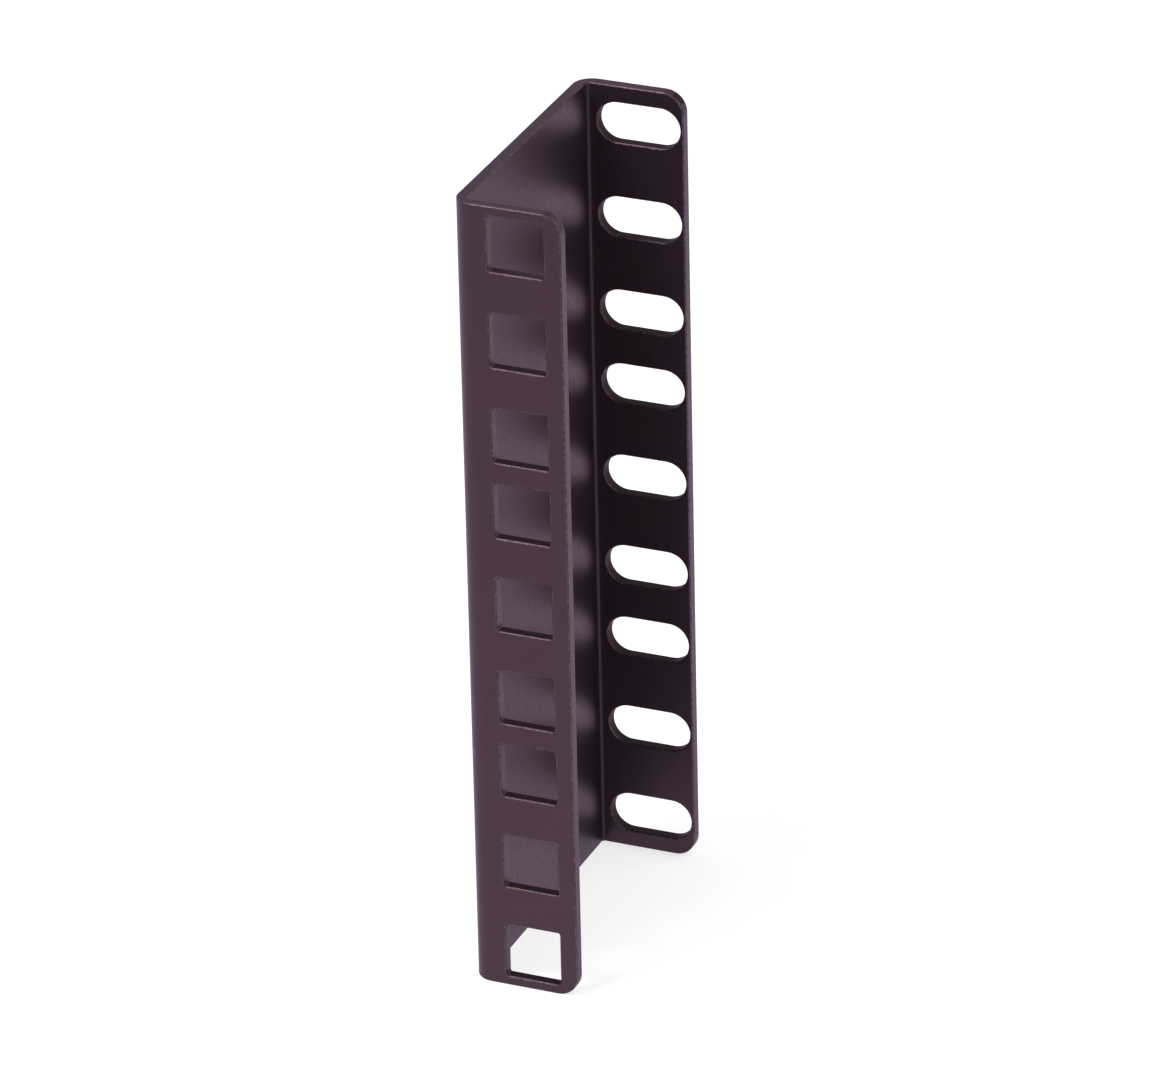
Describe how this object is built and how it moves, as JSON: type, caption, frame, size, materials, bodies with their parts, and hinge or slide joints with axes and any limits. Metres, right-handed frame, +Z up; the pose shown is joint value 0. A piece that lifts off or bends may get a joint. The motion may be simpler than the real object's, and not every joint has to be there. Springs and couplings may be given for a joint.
{
  "type": "rack depth extender",
  "caption": "Folded sheet-steel channel that moves a rack's mounting plane forward: cage-nut holes in the front flange, screw slots in the rear flange.",
  "frame": {"origin": "middle of the underside of the bracket's box", "axes": "+Z up along the rack rail, -Y to the front of the rack, +X to the free edges of the flanges"},
  "size_m": [0.0178, 0.0508, 0.1329],
  "materials": {
    "powder_coat": "satin, fine texture"
  },
  "bodies": {
    "root": {"extender_bracket": "powder_coat"}
  },
  "joints": []
}
